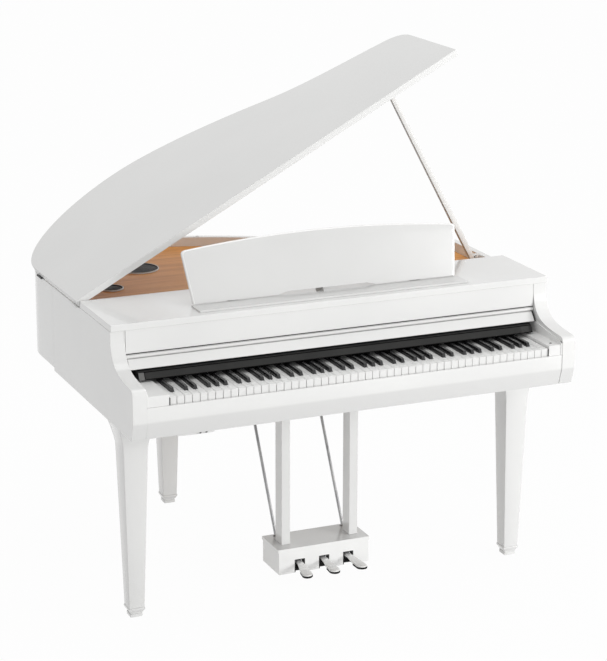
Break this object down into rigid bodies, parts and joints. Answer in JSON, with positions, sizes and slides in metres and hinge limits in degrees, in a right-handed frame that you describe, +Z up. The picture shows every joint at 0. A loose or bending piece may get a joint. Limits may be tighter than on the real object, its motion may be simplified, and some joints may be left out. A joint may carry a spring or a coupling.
{
  "type": "digital grand piano",
  "caption": "Digital grand piano in white lacquer with a propped curved lid, open keyboard, sliding key cover, folding music desk, pedal lyre and tapered legs.",
  "frame": {"origin": "centre of the bounding box, at floor level", "axes": "+X to the treble end at the player's right, +Y to the tail, +Z up; the player sits on the -Y side"},
  "size_m": [1.4401, 1.237, 1.6117],
  "materials": {
    "side_left": "white gloss lacquer over board",
    "side_right": "white gloss lacquer over board",
    "rim_tail": "white gloss lacquer over board",
    "lid": "white gloss lacquer over board",
    "top_board": "white gloss lacquer over board",
    "front_panel": "white gloss lacquer over board",
    "panel_bead": "white gloss lacquer over board",
    "key_slip": "white gloss lacquer over board",
    "key_cover": "white gloss lacquer over board",
    "music_desk": "white gloss lacquer over board",
    "desk_rail": "white gloss lacquer over board",
    "lid_prop": "white gloss lacquer over board",
    "leg_front_left": "white gloss lacquer over board",
    "leg_front_right": "white gloss lacquer over board",
    "leg_rear": "white gloss lacquer over board",
    "foot_front_left": "white gloss lacquer over board",
    "foot_front_right": "white gloss lacquer over board",
    "foot_rear": "white gloss lacquer over board",
    "lyre_post_left": "white gloss lacquer over board",
    "lyre_post_right": "white gloss lacquer over board",
    "pedal_box": "white gloss lacquer over board",
    "keybed": "white satin lacquer over board",
    "key_block_left": "white satin",
    "key_block_right": "white satin",
    "jack_box": "white satin",
    "keys_white_low": "ivory white, satin",
    "keys_white_high": "ivory white, satin",
    "key_c4": "ivory white, satin",
    "key_d4": "ivory white, satin",
    "key_e4": "ivory white, satin",
    "keys_black_low": "black, fine satin",
    "keys_black_high": "black, fine satin",
    "keys_black_top": "black, fine satin",
    "key_c_sharp4": "black, fine satin",
    "key_d_sharp4": "black, fine satin",
    "control_strip": "black satin",
    "lid_cup": "black satin",
    "control_face": "dark grey gloss",
    "power_button": "dark grey gloss",
    "speaker_board": "orange-brown veneer with bands of grain",
    "grille_left_large": "black mesh with a light ring",
    "grille_left_small": "black mesh with a light ring",
    "grille_right_large": "black mesh with a light ring",
    "grille_right_small": "black mesh with a light ring",
    "woofer_left": "dark metal",
    "woofer_right": "dark metal",
    "hinge_front_case": "dark metal",
    "hinge_rear_case": "dark metal",
    "hinge_front_lid": "dark metal",
    "hinge_rear_lid": "dark metal",
    "prop_bracket": "dark metal",
    "desk_stay": "dark metal",
    "power_supply": "dark metal",
    "lyre_rod_left": "brushed",
    "lyre_rod_right": "brushed",
    "pedal_left": "satin chrome",
    "pedal_middle": "satin chrome",
    "pedal_right": "satin chrome",
    "main_board": "green circuit board",
    "base_panel": "bare hardboard"
  },
  "bodies": {
    "case": {"side_left": "side_left", "side_right": "side_right", "rim_tail": "rim_tail", "keybed": "keybed", "base_panel": "base_panel", "speaker_board": "speaker_board", "grille_left_large": "grille_left_large", "grille_left_small": "grille_left_small", "grille_right_large": "grille_right_large", "grille_right_small": "grille_right_small", "woofer_left": "woofer_left", "woofer_right": "woofer_right", "top_board": "top_board", "front_panel": "front_panel", "panel_bead": "panel_bead", "control_strip": "control_strip", "control_face": "control_face", "key_slip": "key_slip", "key_block_left": "key_block_left", "key_block_right": "key_block_right", "hinge_front_case": "hinge_front_case", "hinge_rear_case": "hinge_rear_case", "prop_bracket": "prop_bracket", "desk_rail": "desk_rail", "leg_front_left": "leg_front_left", "leg_front_right": "leg_front_right", "leg_rear": "leg_rear", "foot_front_left": "foot_front_left", "foot_front_right": "foot_front_right", "foot_rear": "foot_rear", "lyre_post_left": "lyre_post_left", "lyre_post_right": "lyre_post_right", "lyre_rod_left": "lyre_rod_left", "lyre_rod_right": "lyre_rod_right", "pedal_box": "pedal_box", "jack_box": "jack_box", "main_board": "main_board", "power_supply": "power_supply"},
    "lid_body": {"lid": "lid", "lid_cup": "lid_cup", "hinge_front_lid": "hinge_front_lid", "hinge_rear_lid": "hinge_rear_lid"},
    "prop_body": {"lid_prop": "lid_prop"},
    "cover_body": {"key_cover": "key_cover"},
    "desk_body": {"music_desk": "music_desk"},
    "stay_body": {"desk_stay": "desk_stay"},
    "button_body": {"power_button": "power_button"},
    "keys_white_low_body": {"keys_white_low": "keys_white_low"},
    "keys_white_high_body": {"keys_white_high": "keys_white_high"},
    "keys_black_low_body": {"keys_black_low": "keys_black_low"},
    "keys_black_high_body": {"keys_black_high": "keys_black_high"},
    "keys_black_top_body": {"keys_black_top": "keys_black_top"},
    "key_c4_body": {"key_c4": "key_c4"},
    "key_d4_body": {"key_d4": "key_d4"},
    "key_e4_body": {"key_e4": "key_e4"},
    "key_c_sharp4_body": {"key_c_sharp4": "key_c_sharp4"},
    "key_d_sharp4_body": {"key_d_sharp4": "key_d_sharp4"},
    "pedal_left_body": {"pedal_left": "pedal_left"},
    "pedal_middle_body": {"pedal_middle": "pedal_middle"},
    "pedal_right_body": {"pedal_right": "pedal_right"}
  },
  "joints": [
    {"name": "lid_hinge", "type": "hinge", "parent": "case", "child": "lid_body", "pos_m": [-0.71386, 0.0715, 0.9105], "axis": [0, -1, 0], "range_deg": [0, 10]},
    {"name": "prop_fold", "type": "hinge", "parent": "case", "child": "prop_body", "pos_m": [0.67264, -0.0385, 0.9074], "axis": [0, -1, 0], "range_deg": [0, 61]},
    {"name": "cover_slide", "type": "slide", "parent": "case", "child": "cover_body", "axis": [0, -0.9901, -0.14], "range_m": [0, 0.165]},
    {"name": "desk_fold", "type": "hinge", "parent": "case", "child": "desk_body", "pos_m": [0.01664, -0.31215, 0.94504], "axis": [-1, 0, 0], "range_deg": [0, 70]},
    {"name": "stay_fold", "type": "hinge", "parent": "desk_body", "child": "stay_body", "pos_m": [0.01664, -0.29827, 0.99047], "axis": [1, 0, 0], "range_deg": [0, 135.3]},
    {"name": "button_press", "type": "slide", "parent": "case", "child": "button_body", "axis": [0, 0, -1], "range_m": [0, 0.001], "stiffness_N_per_m": 150, "springref_m": -0.002},
    {"name": "keys_white_low_press", "type": "hinge", "parent": "case", "child": "keys_white_low_body", "pos_m": [-0.32556, -0.2645, 0.745], "axis": [1, 0, 0], "range_deg": [0, 1.6], "stiffness_Nm_per_rad": 60, "springref_deg": -20.05},
    {"name": "keys_white_high_press", "type": "hinge", "parent": "case", "child": "keys_white_high_body", "pos_m": [0.32344, -0.2645, 0.745], "axis": [1, 0, 0], "range_deg": [0, 1.6], "stiffness_Nm_per_rad": 60, "springref_deg": -22.92},
    {"name": "keys_black_low_press", "type": "hinge", "parent": "case", "child": "keys_black_low_body", "pos_m": [-0.32556, -0.24625, 0.745], "axis": [1, 0, 0], "range_deg": [0, 1.6], "stiffness_Nm_per_rad": 20, "springref_deg": -17.19},
    {"name": "keys_black_high_press", "type": "hinge", "parent": "case", "child": "keys_black_high_body", "pos_m": [0.14644, -0.24625, 0.745], "axis": [1, 0, 0], "range_deg": [0, 1.6], "stiffness_Nm_per_rad": 12, "springref_deg": -14.32},
    {"name": "keys_black_top_press", "type": "hinge", "parent": "case", "child": "keys_black_top_body", "pos_m": [0.45324, -0.24625, 0.745], "axis": [1, 0, 0], "range_deg": [0, 1.6], "stiffness_Nm_per_rad": 14, "springref_deg": -14.32},
    {"name": "key_c4_press", "type": "hinge", "parent": "case", "child": "key_c4_body", "pos_m": [-0.04236, -0.2645, 0.745], "axis": [1, 0, 0], "range_deg": [0, 1.6], "stiffness_Nm_per_rad": 3, "springref_deg": -17.19},
    {"name": "key_d4_press", "type": "hinge", "parent": "case", "child": "key_d4_body", "pos_m": [-0.01876, -0.2645, 0.745], "axis": [1, 0, 0], "range_deg": [0, 1.6], "stiffness_Nm_per_rad": 3, "springref_deg": -17.19},
    {"name": "key_e4_press", "type": "hinge", "parent": "case", "child": "key_e4_body", "pos_m": [0.00484, -0.2645, 0.745], "axis": [1, 0, 0], "range_deg": [0, 1.6], "stiffness_Nm_per_rad": 3, "springref_deg": -17.19},
    {"name": "key_c_sharp4_press", "type": "hinge", "parent": "case", "child": "key_c_sharp4_body", "pos_m": [-0.03276, -0.24625, 0.745], "axis": [1, 0, 0], "range_deg": [0, 1.6], "stiffness_Nm_per_rad": 1.5, "springref_deg": -14.32},
    {"name": "key_d_sharp4_press", "type": "hinge", "parent": "case", "child": "key_d_sharp4_body", "pos_m": [-0.00476, -0.24625, 0.745], "axis": [1, 0, 0], "range_deg": [0, 1.6], "stiffness_Nm_per_rad": 1.5, "springref_deg": -14.32},
    {"name": "pedal_left_press", "type": "hinge", "parent": "case", "child": "pedal_left_body", "pos_m": [-0.07736, -0.2385, 0.07], "axis": [1, 0, 0], "range_deg": [0, 5], "stiffness_Nm_per_rad": 12, "springref_deg": -8.59},
    {"name": "pedal_middle_press", "type": "hinge", "parent": "case", "child": "pedal_middle_body", "pos_m": [0.00514, -0.2385, 0.07], "axis": [1, 0, 0], "range_deg": [0, 5], "stiffness_Nm_per_rad": 12, "springref_deg": -8.59},
    {"name": "pedal_right_press", "type": "hinge", "parent": "case", "child": "pedal_right_body", "pos_m": [0.08764, -0.2385, 0.07], "axis": [1, 0, 0], "range_deg": [0, 5], "stiffness_Nm_per_rad": 12, "springref_deg": -8.59}
  ],
  "couplings": [
    {"joint": "stay_fold", "follows": "desk_fold", "ratio": 1.93}
  ]
}
